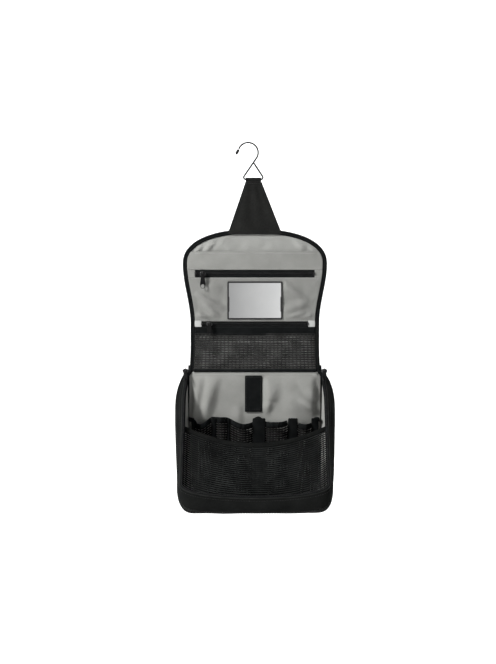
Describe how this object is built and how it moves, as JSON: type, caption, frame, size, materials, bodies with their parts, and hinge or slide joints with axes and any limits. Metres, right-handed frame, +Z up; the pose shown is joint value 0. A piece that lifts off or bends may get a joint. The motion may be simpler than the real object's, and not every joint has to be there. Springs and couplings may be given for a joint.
{
  "type": "hanging toiletry bag",
  "caption": "Hanging toiletry bag with a wire hook, a stiff lid that holds a mirror and zipped pockets, and a wedge-shaped tub with mesh organisers.",
  "frame": {"origin": "the hang point: the underside of the hook's crown, where it rests on a rail", "axes": "+Z up, the open bag faces -Y, the wall behind it is on the +Y side, +X is the viewer's right"},
  "size_m": [0.2324, 0.1098, 0.5384],
  "materials": {
    "black_fabric": "woven polyester, matt",
    "black_webbing": "fine ribbed tape, matt",
    "grey_lining": "thin plain-weave lining with a slight sheen",
    "black_mesh": "open knitted mesh",
    "stiffener_board": "thin plastic board",
    "zip_coil": "woven nylon coil",
    "zip_metal": "black painted zinc",
    "hook_wire": "dark grey painted steel wire",
    "hook_cap": "soft plastic tip",
    "mirror_glass": "silvered",
    "mirror_frame": "thin moulded frame"
  },
  "bodies": {
    "hook": {"hook_wire": "hook_wire", "hook_tip_cap": "hook_cap"},
    "hanger": {"hanger_panel": "black_fabric", "hanger_sleeve": "black_fabric"},
    "lid": {"lid_outer": "black_fabric", "lid_stiffener": "stiffener_board", "lid_lining": "grey_lining", "lid_zip_tape": "black_webbing", "lid_zip_coil": "zip_coil", "slip_pocket_panel": "grey_lining", "top_pocket_panel": "grey_lining", "top_zip_tape": "black_webbing", "top_zip_coil": "zip_coil", "top_zip_stop_left": "zip_metal", "top_zip_stop_right": "zip_metal", "mirror_frame": "mirror_frame", "mirror_glass": "mirror_glass", "low_zip_tape": "black_webbing", "low_zip_coil": "zip_coil", "low_zip_stop_left": "zip_metal", "low_zip_stop_right": "zip_metal", "low_zip_end_tab_left": "grey_lining", "low_zip_end_tab_right": "grey_lining", "mesh_pocket_facing": "black_webbing", "lid_mesh_panel": "black_mesh"},
    "top_slider": {"top_zip_slider": "zip_metal"},
    "top_pull": {"top_zip_pull": "zip_metal"},
    "low_slider": {"low_zip_slider": "zip_metal"},
    "low_pull": {"low_zip_pull": "zip_metal"},
    "tub": {"back_panel": "black_fabric", "back_stiffener": "stiffener_board", "back_lining": "grey_lining", "fold_tape": "black_webbing", "gusset": "black_fabric", "front_band": "black_fabric", "gusset_lining": "grey_lining", "body_zip_tape": "black_webbing", "body_zip_coil": "zip_coil", "front_mesh_pocket": "black_mesh", "front_mesh_binding": "black_webbing", "organiser_mesh": "black_mesh", "organiser_binding": "black_webbing", "divider_tape_1": "black_webbing", "divider_tape_2": "black_webbing", "divider_tape_3": "black_webbing", "divider_tape_4": "black_webbing", "divider_tape_5": "black_webbing", "divider_tape_6": "black_webbing"},
    "strap": {"strap_tab": "black_webbing"},
    "main_slider_left": {"main_zip_slider_left": "zip_metal"},
    "main_pull_left": {"main_zip_pull_left": "zip_metal"},
    "main_slider_right": {"main_zip_slider_right": "zip_metal"},
    "main_pull_right": {"main_zip_pull_right": "zip_metal"}
  },
  "joints": [
    {"name": "swing_on_hook", "type": "hinge", "parent": "hook", "child": "hanger", "pos_m": [0.0078, 0, -0.0534], "axis": [-1, 0, 0], "range_deg": [0, 90]},
    {"name": "hanger_fold", "type": "hinge", "parent": "hanger", "child": "lid", "pos_m": [0.01, -0.003, -0.126], "axis": [1, 0, 0], "range_deg": [-170, 0]},
    {"name": "lid_close", "type": "hinge", "parent": "lid", "child": "tub", "pos_m": [0.01, -0.003, -0.3384], "axis": [-1, 0, 0], "range_deg": [0, 149.8]},
    {"name": "top_zip_slide", "type": "slide", "parent": "lid", "child": "top_slider", "axis": [1, 0, 0], "range_m": [0, 0.155]},
    {"name": "top_pull_lift", "type": "hinge", "parent": "top_slider", "child": "top_pull", "pos_m": [-0.067, -0.0073, -0.1919], "axis": [-1, 0, 0], "range_deg": [0, 170]},
    {"name": "low_zip_slide", "type": "slide", "parent": "lid", "child": "low_slider", "axis": [1, 0, 0], "range_m": [0, 0.134]},
    {"name": "low_pull_lift", "type": "hinge", "parent": "low_slider", "child": "low_pull", "pos_m": [-0.057, -0.0073, -0.2661], "axis": [-1, 0, 0], "range_deg": [0, 170]},
    {"name": "strap_lift", "type": "hinge", "parent": "tub", "child": "strap", "pos_m": [0.008, -0.0018, -0.3439], "axis": [1, 0, 0], "range_deg": [-100, 0]},
    {"name": "main_zip_slide_left", "type": "slide", "parent": "tub", "child": "main_slider_left", "axis": [-0.04, -0.5026, -0.8636], "range_m": [0, 0.09]},
    {"name": "main_pull_lift_left", "type": "hinge", "parent": "main_slider_left", "child": "main_pull_left", "pos_m": [-0.0926, -0.00313, -0.33485], "axis": [-1, 0, 0], "range_deg": [0, 150]},
    {"name": "main_zip_slide_right", "type": "slide", "parent": "tub", "child": "main_slider_right", "axis": [0.04, -0.5026, -0.8636], "range_m": [0, 0.09]},
    {"name": "main_pull_lift_right", "type": "hinge", "parent": "main_slider_right", "child": "main_pull_right", "pos_m": [0.1126, -0.00313, -0.33485], "axis": [-1, 0, 0], "range_deg": [0, 150]}
  ]
}
